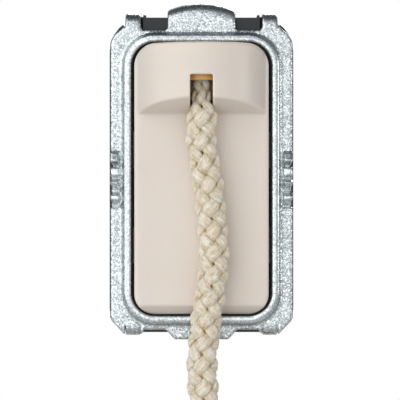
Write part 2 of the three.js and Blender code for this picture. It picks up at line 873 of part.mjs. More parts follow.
function straightDown(depth, from, to) {
  return new THREE.LineCurve3(new THREE.Vector3(0, depth, from), new THREE.Vector3(0, depth, to));
}

// Half the hank's width at a height: full over the folds, drawn in to the waist at the tie.
function hankHalfWidth(z) {
  const share = Math.min(Math.abs(z - hankMiddle) / (hankRun / 2), 1);
  const swell = (1 - Math.cos(Math.PI * share)) / 2;
  return hankWaist + (hankOuter - hankWaist) * swell;
}

function hankOutline() {
  const runSteps = 24;
  const low = hankMiddle - hankRun / 2;
  const rightHalf = arc(0, low, hankOuter, -80, -5);
  for (let i = 0; i <= runSteps; i++) {
    const z = low + (hankRun * i) / runSteps;
    rightHalf.push([hankHalfWidth(z), z]);
  }
  rightHalf.push(...arc(0, low + hankRun, hankOuter, 5, 80));
  return withMirror(rightHalf);
}

function tieOutline(grow) {
  const half = hankHalfWidth(hankMiddle + tieHeight / 2) + restGap + grow;
  const front = cordDepth - cordRadius - restGap - grow;
  const back = tailDepth + cordRadius + restGap + grow;
  const side = half - cordRadius * 2;
  return [
    [side - cordRadius, front],
    [half, hankFront - restGap],
    [half, hankBack + restGap],
    [side - cordRadius, back],
    [-side + cordRadius, back],
    [-half, hankBack + restGap],
    [-half, hankFront - restGap],
    [-side + cordRadius, front],
  ];
}

function hankTie() {
  const z = [hankMiddle - tieHeight / 2, hankMiddle + tieHeight / 2];
  const band = alongZ(tieOutline(tieThickness), ...z);
  return cut(band, alongZ(tieOutline(0), z[0] - 1, z[1] + 1));
}

function pullKnob() {
  const hole = cordRadius + restGap;
  const bell = [];
  const steps = 8;
  for (let i = 0; i <= steps; i++) {
    const share = i / steps;
    const swell = (1 + Math.cos(Math.PI * share)) / 2;
    bell.push([knobTopRadius + (knobRadius - knobTopRadius) * swell, knobBottom + knobHeight * share]);
  }
  const profile = [
    [knobPocketRadius, knobBottom],
    ...bell,
    [hole, knobTop],
    [hole, knobBottom + knobPocket],
    [knobPocketRadius, knobBottom + knobPocket],
    [knobPocketRadius, knobBottom],
  ];
  return turned(profile, 0, tailDepth);
}

function ball(z, depth, radius) {
  const geometry = new THREE.SphereGeometry(radius, 16, 10);
  geometry.translate(0, depth, z);
  return solid(geometry);
}

function buildHousing() {
  add("yoke", yoke(), "zinc");
  add("front_cover", frontCover(), "ivory");
  add("rear_case", rearCase(), "black");
  add("inner_frame", innerFrame(), "grey");
  const pinHalf = cheekOffset + cheekThickness;
  add("lever_pin", alongX(circle(pivotDepth, pivotHeight, pinRadius), -pinHalf, pinHalf), "steel");
}

function buildMechanism() {
  const leverGroup = new THREE.Group();
  leverGroup.position.set(0, pivotDepth, pivotHeight);
  leverGroup.rotation.x = -halfTilt;
  model.add(leverGroup);
  add("pull_lever", pullLever(), "amber", leverGroup);
  add("plunger", plunger(), "ivory");
  add("contact_bridge", contactBridge(), "brass");
  const contactSpringLow = bridgeTop + restGap;
  const contactSpringHigh = contactSpringLow + contactSpringLength;
  add("contact_spring", coilSpring(0, plungerDepth, contactSpringLow, contactSpringHigh, 3), "steel");
  const returnSpringHigh = springSeat + returnSpringLength;
  add("return_spring", coilSpring(0, plungerDepth, springSeat, returnSpringHigh, 5), "steel");
}

function buildContacts() {
  for (const [name, side] of [["left", -1], ["right", 1]]) {
    add(`moving_tip_${name}`, contactTip(side, movingTipBottom + contactTipHeight), "silver");
    add(`fixed_tip_${name}`, contactTip(side, fixedTipTop), "silver");
    add(`fixed_contact_${name}`, fixedContact(side), "brass");
    add(`terminal_cage_${name}`, terminalCage(side), "brass");
    add(`terminal_screw_${name}`, terminalScrew(side), "steel");
  }
}

function buildCord() {
  const leverTop = leverFrontHeight + leverThickness;
  const dropTop = dropRoute[0][1];
  const stopLow = leverTop + restGap;
  const neckTop = stopLow - restGap;
  add("cord_stop", alongZ(circle(0, cordDepth, stopRadius), stopLow, stopLow + stopHeight), "brass");
  add("cord_neck", tube(straightDown(cordDepth, neckTop, dropTop + restGap), neckRadius, 8, 2), "cord");
  add("cord_drop", tube(dropCurve(), cordRadius, 10, 30), "cord");
  add("cord_hank", alongY(hankOutline(), hankFront, hankBack), "cord");
  add("hank_tie", hankTie(), "twine");
  const tailTop = hankMiddle + hankRun / 2;
  const knotTop = knobBottom + knobPocket - restGap;
  const tailBottom = knotTop + restGap;
  add("cord_tail", tube(straightDown(tailDepth, tailTop, tailBottom), cordRadius, 10, 12), "cord");
  add("pull_knob", pullKnob(), "ivory");
  add("knob_knot", ball(knotTop - knotRadius, tailDepth, knotRadius), "cord");
}

buildHousing();
buildMechanism();
buildContacts();
buildCord();

export default model;
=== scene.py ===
"""Pull cord switch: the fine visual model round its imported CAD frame.

The frame is in metres: X to the right, Y back into the wall, Z up, with the
origin in the middle of the yoke's window, on the back of its plate. Lengths of
the switch and the camera are in millimetres here, and are turned to metres
where they are used. The lights and the floor are in metres.
"""

import math

import bpy
import numpy as np
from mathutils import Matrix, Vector


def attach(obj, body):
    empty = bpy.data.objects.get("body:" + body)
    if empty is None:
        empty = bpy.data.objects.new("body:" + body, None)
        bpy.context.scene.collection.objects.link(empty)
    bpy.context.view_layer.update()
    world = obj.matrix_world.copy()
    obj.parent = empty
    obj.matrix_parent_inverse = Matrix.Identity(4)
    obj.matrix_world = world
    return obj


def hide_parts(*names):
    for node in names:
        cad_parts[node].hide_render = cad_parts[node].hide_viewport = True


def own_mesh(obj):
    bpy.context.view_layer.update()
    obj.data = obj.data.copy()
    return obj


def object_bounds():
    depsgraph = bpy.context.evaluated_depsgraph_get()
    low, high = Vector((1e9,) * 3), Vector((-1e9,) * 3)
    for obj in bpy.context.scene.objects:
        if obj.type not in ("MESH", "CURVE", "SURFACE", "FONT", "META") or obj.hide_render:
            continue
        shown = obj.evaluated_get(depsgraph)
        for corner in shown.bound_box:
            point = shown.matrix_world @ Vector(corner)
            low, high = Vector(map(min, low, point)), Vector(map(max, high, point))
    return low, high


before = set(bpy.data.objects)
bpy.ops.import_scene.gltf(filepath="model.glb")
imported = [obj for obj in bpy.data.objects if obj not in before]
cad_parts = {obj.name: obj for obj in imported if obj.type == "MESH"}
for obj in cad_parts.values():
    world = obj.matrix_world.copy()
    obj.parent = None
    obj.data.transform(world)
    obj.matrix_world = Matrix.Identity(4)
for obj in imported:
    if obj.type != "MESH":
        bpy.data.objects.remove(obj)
cad_low, cad_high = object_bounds()

MM = 0.001


# ---------------------------------------------------------------- camera

VIEW_CENTRE = (-0.2, -0.8, -2.84)
VIEW_WIDTH = 54.05
VIEW_DISTANCE = 299.2
SENSOR = 36.0


def add_camera():
    data = bpy.data.cameras.new("camera")
    camera = bpy.data.objects.new("camera", data)
    bpy.context.scene.collection.objects.link(camera)
    x, y, z = VIEW_CENTRE
    camera.location = Vector((x, y - VIEW_DISTANCE, z)) * MM
    camera.rotation_euler = (math.radians(90), 0, 0)
    data.sensor_width = SENSOR
    data.lens = SENSOR * VIEW_DISTANCE / VIEW_WIDTH
    data.clip_start = 0.02
    data.clip_end = 20
    bpy.context.scene.camera = camera


add_camera()


# ---------------------------------------------------------------- sizes

REST_GAP = 0.3

SHEET = 0.8
WINDOW_HALF_WIDTH = 9.5
WINDOW_HALF_HEIGHT = 18.5
WINDOW_CORNER = 3.25
PLATE_HALF_WIDTH = 12.35
PLATE_TOP = 20.2
PLATE_BOTTOM = -20.4
BEAD_WIDTH = 1.1
BEAD_RISE = 1.1
HOOK_INNER = 8.2
HOOK_OUTER = 10.3
TOP_HOOK_EDGE = 22.5
BOTTOM_HOOK_EDGE = -21.15
TOP_HOOK_BEND = 2.1
BOTTOM_HOOK_BEND = 1.4
HOOK_FLARE = 1.15
HOOK_FILLET = 1.4
FILLET_RISE = 1.2
PLATE_CORNER = 2.2
CORNER_LEAN = 50
HOOK_BACK = 3.4
HOOK_LIP = 1.4
SHOULDER = 0.5
LATCH_HALF_WIDTH = 4.6
LATCH_RISE = 3.7
LATCH_CROWN = 1.0
LATCH_BEND = 2.0
LATCH_REACH = 2.4
TAB_HALF_WIDTH = 4.8
TAB_DROP = 1.3
TAB_TAPER = 0.7
DETENT_WIDTH = 1.5

COVER_HALF_WIDTH = 9.05
COVER_HALF_HEIGHT = 18.05
COVER_CORNER = 2.8
COVER_BOTTOM_GROWTH = 0.2  # how much lower the moulding's edge is than the plain cover's
COVER_FACE = 2.5
COVER_WALL = 1.0
SKIRT_DEPTH = 1.9
BEVEL_HEIGHT = 1.25
BEVEL_DEPTH = 1.5
HOOD_FOOT = 8.8
HOOD_UNDERCUT = 1.95
HOOD_HALF_WIDTH = 8.6
HOOD_REACH = 6.175
UNDERSIDE_WALL = 0.8
SLOT_HALF_WIDTH = 1.5
SLOT_TOP = 13.75
SLOT_BACK = -3.4
SNAP_WIDTH = 5.0
SNAP_THICKNESS = 0.8
SNAP_BARB = 0.55
SNAP_REACH = 2.3
SNAP_HEIGHTS = (-9, 4)
CATCH_FRONT = 2.6

CORD_RADIUS = 2.1
NECK_RADIUS = 1.25
CORD_DEPTH = -4.9
NECK_TOP = 14.0
HANK_TOP = -36.0
HANK_RUN = 72.0
HANK_FOLD = 10.5
HANK_COLUMNS = 2
HANK_LAYERS = 3
HANK_OUTER = HANK_FOLD + (2 * HANK_COLUMNS - 1) * CORD_RADIUS
HANK_MIDDLE = HANK_TOP - HANK_OUTER - HANK_RUN / 2
HANK_FRONT = CORD_DEPTH + CORD_RADIUS + REST_GAP
HANK_BACK = HANK_FRONT + 2 * HANK_LAYERS * CORD_RADIUS
TAIL_DEPTH = HANK_BACK + REST_GAP + CORD_RADIUS
UPPER_FOLD = HANK_MIDDLE + HANK_RUN / 2
LOWER_FOLD = HANK_MIDDLE - HANK_RUN / 2
TIE_HEIGHT = 8.0
TIE_THICKNESS = 1.1
KNOB_TOP = LOWER_FOLD - HANK_OUTER - 4.0
KNOB_HEIGHT = 18.0
KNOB_BOTTOM = KNOB_TOP - KNOB_HEIGHT
KNOB_TOP_RADIUS = 3.4
KNOB_RADIUS = 6.2
KNOB_POCKET = 6.5
KNOB_POCKET_RADIUS = 4.6
KNOT_RADIUS = 3.6
KNOT_MIDDLE = KNOB_BOTTOM + KNOB_POCKET - REST_GAP - KNOT_RADIUS

# The cord's route down the front: x and z of its axis, from the neck to the tie
DROP_ROUTE = [
    (0.05, 8.4),
    (-0.07, 5.7),
    (0.59, 1.1),
    (1.13, -2.8),
    (1.47, -6.1),
    (1.67, -9.5),
    (1.52, -12.1),
    (1.27, -14.8),
    (0.73, -18.1),
    (0.16, -22.7),
    (0.14, -26.7),
    (0.45, -30.5),
    (0.5, -35.0),
    (0.3, -42.0),
    (0.1, -52.0),
    (0.0, -64.0),
    (0.0, -80.0),
    (0.0, -96.0),
]
NECK_HEIGHTS = (NECK_TOP, 12.2, 10.4)
# From the tie, round to the first turn of the hank: x, y and z
DIVE_ROUTE = [
    (-0.8, -4.8, -101),
    (-2.9, -4.3, -106.5),
    (-5.6, -3.3, -112),
    (-8.3, -1.8, -117.5),
]
# Down the back of the hank: x, and how far below the upper folds' centre
TAIL_ROUTE = [(-2.3, 6), (-1.2, 15), (-0.3, 25), (0, 36)]
TAIL_STRAIGHT = 48  # how far below the same centre the tail's last stretch starts
TAIL_POINTS = 6


# ---------------------------------------------------------------- lines


def lengths_along(line):
    return np.concatenate([[0], np.cumsum(np.linalg.norm(np.diff(line, axis=0), axis=1))])


def sampled(values, along, at):
    return np.stack([np.interp(at, along, values[:, k]) for k in range(values.shape[1])], axis=1)


def evenly(line, step):
    along = lengths_along(line)
    return sampled(line, along, np.linspace(0, along[-1], math.ceil(along[-1] / step) + 1))


def unit(vectors):
    return vectors / np.maximum(np.linalg.norm(vectors, axis=1, keepdims=True), 1e-12)


def smooth_curve(points, step):
    """A centripetal Catmull-Rom curve through the points, sampled about step apart."""
    p = np.asarray(points, float)
    p = np.vstack([2 * p[0] - p[1], p, 2 * p[-1] - p[-2]])
    knots = np.concatenate([[0], np.cumsum(np.linalg.norm(np.diff(p, axis=0), axis=1) ** 0.5)])
    out = []
    for i in range(1, len(p) - 2):
        t0, t1, t2, t3 = knots[i - 1 : i + 3]
        t = np.linspace(t1, t2, 24, endpoint=False)[:, None]
        a1 = (t1 - t) / (t1 - t0) * p[i - 1] + (t - t0) / (t1 - t0) * p[i]
        a2 = (t2 - t) / (t2 - t1) * p[i] + (t - t1) / (t2 - t1) * p[i + 1]
        a3 = (t3 - t) / (t3 - t2) * p[i + 1] + (t - t2) / (t3 - t2) * p[i + 2]
        b1 = (t2 - t) / (t2 - t0) * a1 + (t - t0) / (t2 - t0) * a2
        b2 = (t3 - t) / (t3 - t1) * a2 + (t - t1) / (t3 - t1) * a3
        out.append((t2 - t) / (t2 - t1) * b1 + (t - t1) / (t2 - t1) * b2)
    out.append(p[-2:-1])
    return evenly(np.vstack(out), step)


def frames(line, first_side):
    """Side and up vectors carried along the line without twist."""
    tangents = unit(np.gradient(line, axis=0))
    sides = np.empty_like(line)
    side = np.asarray(first_side, float)
    for i, tangent in enumerate(tangents):
        side = side - tangent * (side @ tangent)
        side = side / np.linalg.norm(side)
        sides[i] = side
    return sides, np.cross(tangents, sides)


def eased(share):
    return share * share * (3 - 2 * share)


# ---------------------------------------------------------------- meshes


def make_object(name, points, faces):
    """A smooth-shaded object from points in millimetres."""
    mesh = bpy.data.meshes.new(name)
    mesh.from_pydata((np.asarray(points, float) * MM).tolist(), [], faces)
    mesh.update()
    mesh.shade_smooth()
    made = bpy.data.objects.new(name, mesh)
    bpy.context.scene.collection.objects.link(made)
    return made


def slab(v, low, high):
    return np.maximum(low - v, v - high)


def met(a, b, edge):
    """What is in both solids, given as signed distances, with an edge radius where they cross."""
    corner = np.hypot(np.maximum(edge + a, 0), np.maximum(edge + b, 0))
    return np.minimum(-edge, np.maximum(a, b)) + corner


def joined(a, b, fillet):
    return -met(-a, -b, fillet)


def cut(a, b, edge):
    return met(a, -b, edge)


def rounded_rectangle(u, v, half_u, half_v, radius):
    a = np.abs(u) - half_u + radius
    b = np.abs(v) - half_v + radius
    return np.hypot(np.maximum(a, 0), np.maximum(b, 0)) + np.minimum(np.maximum(a, b), 0) - radius


def polygon(points, u, v):
    """Signed distance from a closed outline, negative inside."""
    u, v = np.broadcast_arrays(u, v)
    best = np.full(u.shape, np.inf)
    sign = np.ones(u.shape)
    for (au, av), (bu, bv) in zip(points, points[1:] + points[:1]):
        eu, ev = bu - au, bv - av
        wu, wv = u - au, v - av
        t = np.clip((wu * eu + wv * ev) / max(eu * eu + ev * ev, 1e-9), 0, 1)
        best = np.minimum(best, (wu - t * eu) ** 2 + (wv - t * ev) ** 2)
        above, below = v >= av, v < bv
        turn = eu * wv > ev * wu
        sign = np.where((above & below & turn) | ~(above | below | turn), -sign, sign)
    return sign * np.sqrt(best)


def arc(u, v, radius, start, stop, steps=8):
    angles = [math.radians(start + (stop - start) * i / steps) for i in range(steps + 1)]
    return [(u + radius * math.cos(a), v + radius * math.sin(a)) for a in angles]


CORNERS = [(i, j, k) for i in (0, 1) for j in (0, 1) for k in (0, 1)]
CELL_EDGES = [
    (a, b)
    for a in CORNERS
    for b in CORNERS
    if a < b and sum(p != q for p, q in zip(a, b)) == 1
]
NUDGE = 0.01  # distance over which a field's slope is measured, each way
LEAST_SLOPE = 0.3


def surface(name, field, low, high, cell):
    """The surface where a signed distance field is zero, as an object made of quads."""
    axes = [np.arange(a - 2 * cell, b + 3 * cell, cell) for a, b in zip(low, high)]
    values = np.broadcast_to(field(*np.ix_(*axes)), [len(a) for a in axes])
    inside = values < 0
    number = [n - 1 for n in inside.shape]
    held = np.zeros(number, int)
    for i, j, k in CORNERS:
        held += inside[i : i + number[0], j : j + number[1], k : k + number[2]]
    cells = np.argwhere((held > 0) & (held < 8))
    index = np.full(number, -1)
    index[tuple(cells.T)] = np.arange(len(cells))
    total, crossings = np.zeros(cells.shape), np.zeros(len(cells))
    for a, b in CELL_EDGES:
        from_value, to_value = values[tuple((cells + a).T)], values[tuple((cells + b).T)]
        crosses = (from_value < 0) != (to_value < 0)
        share = from_value[crosses] / (from_value[crosses] - to_value[crosses])
        total[crosses] += np.array(a) + share[:, None] * (np.array(b) - np.array(a))
        crossings[crosses] += 1
    points = (cells + total / crossings[:, None]) * cell + [a[0] for a in axes]
    return make_object(name, settled(points, field, cell), net_faces(inside, index))


def net_faces(inside, index):
    """A quad across each grid edge that the surface crosses, facing outwards."""
    faces = []
    for axis in range(3):
        u, v = (axis + 1) % 3, (axis + 2) % 3
        lower, upper = np.delete(inside, -1, axis), np.delete(inside, 0, axis)
        edges = np.argwhere(lower != upper)
        outward = lower[tuple(edges.T)]
        back_u, back_v = np.eye(3, dtype=int)[u], np.eye(3, dtype=int)[v]
        ring = [edges - back_u - back_v, edges - back_v, edges, edges - back_u]
        quads = np.stack([index[tuple(cells.T)] for cells in ring], axis=1)
        quads[~outward] = quads[~outward][:, ::-1]
        faces += quads.tolist()
    return faces


def settled(points, field, cell):
    """The points moved onto the surface itself, along the field's slope."""
    for _ in range(3):
        value = field(*points.T)
        nudges = np.eye(3) * NUDGE
        rises = [field(*(points + n).T) - field(*(points - n).T) for n in nudges]
        slope = np.stack(rises, axis=1) / (2 * NUDGE)
        steepness = np.maximum((slope**2).sum(1, keepdims=True), LEAST_SLOPE)
        move = -value[:, None] * slope / steepness
        points = points + np.clip(move, -cell / 3, cell / 3)
    return points


# ---------------------------------------------------------------- the cord's route

FOLD_POINTS = 14
RUN_POINTS = 16
TAIL_FOLD = 8.6  # radius of the last turn, where the tail comes over the hank


def layer_depth(layer):
    return HANK_FRONT + CORD_RADIUS * (2 * layer + 1)


def fold_radius(column):
    return HANK_FOLD + 2 * CORD_RADIUS * column


def run_offset(column, z):
    """How far a run of a column is from the hank's middle at a height."""
    at_waist = CORD_RADIUS * (2 * column + 1)
    share = min(abs(z - HANK_MIDDLE) / (HANK_RUN / 2), 1)
    return at_waist + (fold_radius(column) - at_waist) * (1 - math.cos(math.pi * share)) / 2


def run(side, here, there, upwards):
    """One run of the hank, which moves from one turn's layer and column to another's."""
    heights = np.linspace(LOWER_FOLD, UPPER_FOLD, RUN_POINTS + 1)[1:-1]
    if not upwards:
        heights = heights[::-1]
    points = []
    for i, z in enumerate(heights):
        mix = eased((i + 1) / RUN_POINTS)
        x = run_offset(here[1], z) * (1 - mix) + run_offset(there[1], z) * mix
        y = layer_depth(here[0]) * (1 - mix) + layer_depth(there[0]) * mix
        points.append((side * x, y, z))
    return points


def fold(turn, height, start, stop):
    layer, column = turn
    points = []
    for degrees in np.linspace(start, stop, FOLD_POINTS + 1):
        angle = math.radians(degrees)
        x = fold_radius(column) * math.cos(angle)
        z = height + fold_radius(column) * math.sin(angle)
        points.append((x, layer_depth(layer), z))
    return points


def hank_route():
    """Each turn goes round the bottom fold, up on the right, over the top and down on the left."""
    turns = [(layer, column) for layer in range(HANK_LAYERS) for column in range(HANK_COLUMNS)]
    points = []
    for turn, following in zip(turns, turns[1:] + [None]):
        points += fold(turn, LOWER_FOLD, 180, 360)
        points += run(1, turn, turn, True)
        if following:
            points += fold(turn, UPPER_FOLD, 0, 180)
            points += run(-1, turn, following, False)
    return points


def tail_route():
    """From the top of the last run, over the back of the hank and down to the knot."""
    start = fold_radius(HANK_COLUMNS - 1)
    points = []
    for degrees in np.linspace(0, 180, FOLD_POINTS + 1):
        angle = math.radians(degrees)
        depth = layer_depth(HANK_LAYERS - 1)
        depth += (TAIL_DEPTH - depth) * eased(min(degrees / 90, 1))
        x = start - TAIL_FOLD + TAIL_FOLD * math.cos(angle)
        points.append((x, depth, UPPER_FOLD + TAIL_FOLD * math.sin(angle)))
    points += [(x, TAIL_DEPTH, UPPER_FOLD - below) for x, below in TAIL_ROUTE]
    heights = np.linspace(UPPER_FOLD - TAIL_STRAIGHT, KNOT_MIDDLE, TAIL_POINTS)
    return points + [(0, TAIL_DEPTH, z) for z in heights]


def cord_route():
    neck = [(0, CORD_DEPTH, z) for z in NECK_HEIGHTS]
    drop = [(x, CORD_DEPTH, z) for x, z in DROP_ROUTE]
    return neck + drop + DIVE_ROUTE + hank_route() + tail_route()


# ---------------------------------------------------------------- braided cord

STRANDS_EACH_WAY = 4
BRAID_PITCH = 12.0  # length in which a strand goes once round
WEAVE = 0.17  # how far a strand goes in and out, as a share of the cord's radius
STRAND_THICK = 0.22  # half of a strand's thickness, as a share of the cord's radius
STRAND_WIDE = 0.39  # half of its width, as the same share
STRAND_FULLNESS = 0.85  # power that fills out a strand's elliptical section
PLUMPNESS = 0.1  # how much a strand swells where it lies outermost, and here and there
STRAY = 0.11  # radians that a strand strays round the cord
WANDER_WAVES = [(8.3, 1.7, 0.6), (3.1, 2.9, 0.4)]  # length, phase for a seed, and share
FIBRE_GAP = 5  # distance between two strands' fibre coordinates


def wander(at, seed):
    """A smooth uneven wave between about -1 and 1, different for each seed."""
    return sum(
        share * np.sin(2 * math.pi * at / length + phase * seed)
        for length, phase, share in WANDER_WAVES
    )


def fuller(value):
    """A sine or cosine, moved outwards so that a strand is less pointed than an ellipse."""
    return math.copysign(abs(value) ** STRAND_FULLNESS, value)


def braid(line, radius, front, step, sides, turned=0.0):
    """Strands of a diamond braid along a line: points, faces and fibre coordinates.

    radius is the cord's radius at each point of the line, and front is the side
    of the cord that the first strands start at.
    """
    along = lengths_along(line)
    sides_at, ups = frames(line, front)
    count = max(2, int(round(along[-1] / step)))
    at = np.linspace(0, along[-1], count + 1)
    centre = sampled(line, along, at)
    side = unit(sampled(sides_at, along, at))
    up = unit(sampled(ups, along, at))
    thick = np.interp(at, along, radius)[:, None]
    weave = np.cos(2 * math.pi * STRANDS_EACH_WAY * (at + turned) / BRAID_PITCH)[:, None]
    rings = np.linspace(0, 2 * math.pi, sides, endpoint=False)
    points, faces, fibre = [], [], []
    first = 0
    for way in (1, -1):
        for strand in range(STRANDS_EACH_WAY):
            angle = 2 * math.pi * (way * (at + turned) / BRAID_PITCH + strand / STRANDS_EACH_WAY)
            angle = angle + STRAY * wander(at + turned, 3 * strand + way)
            out = side * np.cos(angle)[:, None] + up * np.sin(angle)[:, None]
            lift = way * weave
            away = thick * (1 - WEAVE - STRAND_THICK + WEAVE * lift)
            middle = centre + out * away
            forward = unit(np.gradient(middle, axis=0))
            across = unit(np.cross(forward, out))
            outward = np.cross(across, forward)
            uneven = wander(at + turned, 7 * strand + 2 * way)[:, None]
            plump = 1 + PLUMPNESS * lift + PLUMPNESS * uneven
            lateral = FIBRE_GAP * (strand + (STRANDS_EACH_WAY + 1) * way)
            for ring in rings:
                wide = STRAND_WIDE * fuller(math.cos(ring))
                deep = STRAND_THICK * fuller(math.sin(ring))
                points.append(middle + thick * (across * wide * plump + outward * deep * plump))
                # This height, kept as the third fibre coordinate, sets the painted shade in the
                # creases.
                height = (lift[:, 0] + math.sin(ring)) / 2
                round_strand = np.full(len(at), math.cos(ring) + lateral)
                fibre.append(np.stack([at, round_strand, height], axis=1))
            block = first + np.arange(sides * (count + 1)).reshape(sides, count + 1)
            for i in range(sides):
                a, b = block[i], block[(i + 1) % sides]
                faces += np.stack([a[:-1], b[:-1], b[1:], a[1:]], axis=1).tolist()
            faces += [block[:, 0].tolist(), block[::-1, -1].tolist()]
            first += sides * (count + 1)
    return np.concatenate(points), faces, np.concatenate(fibre)


# ---------------------------------------------------------------- cord, knob, knot and tie

VIEW_STRETCH = 56.0  # length of cord, from its top, that is braided finely
ROUTE_STEP = 0.3
FINE_STEP = 0.375
FINE_SIDES = 10
COARSE_STEP = 0.75
COARSE_SIDES = 5
NECK_SWELL = [  # height, and the cord's radius there
    (8.4, CORD_RADIUS),
    (9.0, 1.92),
    (9.6, 1.62),
    (10.4, 1.42),
    (11.2, 1.32),
    (12.8, NECK_RADIUS),
]
TREFOIL_REACH = 5.6  # the knot's radius, in units of the curve its cord follows
TREFOIL_WAVE = 1.3
KNOT_CORD_SHARE = 0.44
KNOT_STEP = 0.5
KNOT_SIDES = 8
TAPE_HALF = 0.36
TAPE_LAP = 0.18
TAPE_LAP_START = 1.5
TAPE_LAP_RAMP = 0.3
TAPE_EDGE = 0.25
TAPE_RIPPLES = [(0.07, 2.2, 0.8), (0.05, -0.9, 1.3)]  # rise, and radians a mm up and across
TIE_CELL = 0.3


def cord_radii(line):
    """The braid is thin where it leaves the slot and swells to its full size below."""
    heights, radii = zip(*NECK_SWELL)
    radius = np.interp(line[:, 2], heights, radii)
    return np.where(lengths_along(line) < 2 * NECK_TOP, radius, CORD_RADIUS)


def add_braid(name, stretches):
    """One object from several braided stretches."""
    points, faces, fibre = [], [], []
    for stretch in stretches:
        new_points, new_faces, new_fibre = braid(*stretch)
        first = sum(len(p) for p in points)
        points.append(new_points)
        fibre.append(new_fibre)
        faces += [[first + i for i in face] for face in new_faces]
    made = make_object(name, np.concatenate(points), faces)
    layer = made.data.attributes.new("fibre", "FLOAT_VECTOR", "POINT")
    layer.data.foreach_set("vector", np.concatenate(fibre).astype(np.float32).ravel())
    return made


def make_cord():
    line = smooth_curve(cord_route(), ROUTE_STEP)
    along = lengths_along(line)
    radii = cord_radii(line)
    split = int(np.searchsorted(along, VIEW_STRETCH))
    front = (0, -1, 0)
    fine = (line[: split + 1], radii[: split + 1], front, FINE_STEP, FINE_SIDES)
    coarse = (line[split:], radii[split:], front, COARSE_STEP, COARSE_SIDES, along[split])
    cord = add_braid("pull_cord", [fine, coarse])
    return cord, line, along[-1]


def make_knot():
    """A small overhand knot, drawn tight."""
    turns = np.linspace(0, 2 * math.pi, 121)
    size = KNOT_RADIUS / TREFOIL_REACH
    x = size * (np.sin(turns) + 2 * np.sin(2 * turns))
    y = size * (np.cos(turns) - 2 * np.cos(2 * turns))
    z = -size * TREFOIL_WAVE * np.sin(3 * turns)
    line = np.stack([x, y + TAIL_DEPTH, z + KNOT_MIDDLE], axis=1)
    radii = np.full(len(line), KNOT_RADIUS * KNOT_CORD_SHARE)
    return add_braid("knot", [(line, radii, (0, 0, 1), KNOT_STEP, KNOT_SIDES)])


def lathe(name, profile, y, sides=96):
    """A closed profile of (radius, z) points turned about a vertical axis."""
    angles = np.linspace(0, 2 * math.pi, sides, endpoint=False)
    count = len(profile)
    points = [(r * math.cos(a), y + r * math.sin(a), z) for a in angles for r, z in profile]
    faces = []
    for i in range(sides):
        here, there = i * count, (i + 1) % sides * count
        for j in range(count):
            k = (j + 1) % count
            faces.append((here + j, there + j, there + k, here + k))
    return make_object(name, points, faces)


def make_knob():
    """A bell with a rounded lip, a bore for the cord and a pocket for its knot."""
    lip = 0.5
    steps = 28
    bore_edge = 0.2
    bore_step = 0.1
    pocket_edge = 0.4
    mouth_edge = 0.3
    bell = []
    for i in range(steps + 1):
        share = i / steps
        swell = (1 + math.cos(math.pi * share)) / 2
        radius = KNOB_TOP_RADIUS + (KNOB_RADIUS - KNOB_TOP_RADIUS) * swell
        bell.append((radius, KNOB_BOTTOM + lip + (KNOB_HEIGHT - 2 * lip) * share))
    bore = CORD_RADIUS + REST_GAP
    pocket_top = KNOB_BOTTOM + KNOB_POCKET
    outside = arc(KNOB_RADIUS - lip, KNOB_BOTTOM + lip, lip, -90, 0)[:-1] + bell
    outside += arc(KNOB_TOP_RADIUS - lip, KNOB_TOP - lip, lip, 0, 90)[1:]
    corner = KNOB_POCKET_RADIUS - pocket_edge
    inside = arc(bore + bore_edge, KNOB_TOP - bore_edge, bore_edge, 90, 180)
    inside += [(bore, pocket_top + bore_step), (bore + bore_step, pocket_top), (corner, pocket_top)]
    inside += arc(corner, pocket_top - pocket_edge, pocket_edge, 90, 0)[1:]
    inside += arc(KNOB_POCKET_RADIUS + mouth_edge, KNOB_BOTTOM + mouth_edge, mouth_edge, 180, 270)
    return lathe("bell_knob", outside + inside, TAIL_DEPTH)


def make_tie():
    """A band of tape round the waist of the hank, its end lapped over its start."""
    half = run_offset(HANK_COLUMNS - 1, HANK_MIDDLE + TIE_HEIGHT / 2) + CORD_RADIUS + REST_GAP
    front = CORD_DEPTH - CORD_RADIUS - REST_GAP
    back = TAIL_DEPTH + CORD_RADIUS + REST_GAP
    side = half - 3 * CORD_RADIUS
    right = [(side, front), (half, HANK_FRONT - REST_GAP), (half, HANK_BACK + REST_GAP), (side, back)]
    outline = right + [(-x, y) for x, y in reversed(right)]

    def field(x, y, z):
        height = z - HANK_MIDDLE
        ripple = sum(rise * np.sin(up * height + across * x) for rise, up, across in TAPE_RIPPLES)
        lap = TAPE_LAP * np.clip((x - TAPE_LAP_START) / TAPE_LAP_RAMP, 0, 1) * (y < 0)
        band = np.abs(polygon(outline, x, y) - TIE_THICKNESS / 2 - ripple / 2) - TAPE_HALF - lap
        return met(band, np.abs(height) - TIE_HEIGHT / 2 + 0.1 * ripple, TAPE_EDGE)

    reach = half + 2
    low = (-reach, front - 2, HANK_MIDDLE - TIE_HEIGHT / 2 - 1)
    high = (reach, back + 2, HANK_MIDDLE + TIE_HEIGHT / 2 + 1)
    return surface("tie", field, low, high, TIE_CELL)


# ---------------------------------------------------------------- yoke

PLATE_EDGE = 0.35
DETENT_HEIGHTS = [-4.0, -3.7, -2.8, -2.3, -1.6, -1.2, -0.5, 0.1, 0.5, 1.4, 1.75, 2.45, 3.5, 3.8]
DETENT_RISES = [0.0, -0.6, 0.3, 0.3, -0.6, -0.2, 1.0, -0.5, 0.3, 0.3, -0.6, 1.1, 0.5, 0.0]
DETENT_RAMP = 0.35
DETENT_EASE = 0.9  # keeps the plate's field close to a distance where the detents slope
NOTCH_HEIGHTS = (2.05, -1.1, -3.1)
NOTCH_OUTSIDE = 0.22
NOTCH_RADIUS = 0.42
NOTCH_EDGE = 0.1
STRAP_PLAY = 0.05
STRAP_EDGE = 0.3
STRAP_FILLET = 0.05
BEAD_EDGE = 0.6
BEAD_FILLET = 0.45
WINDOW_EDGE = 0.15
YOKE_CELL = 0.17


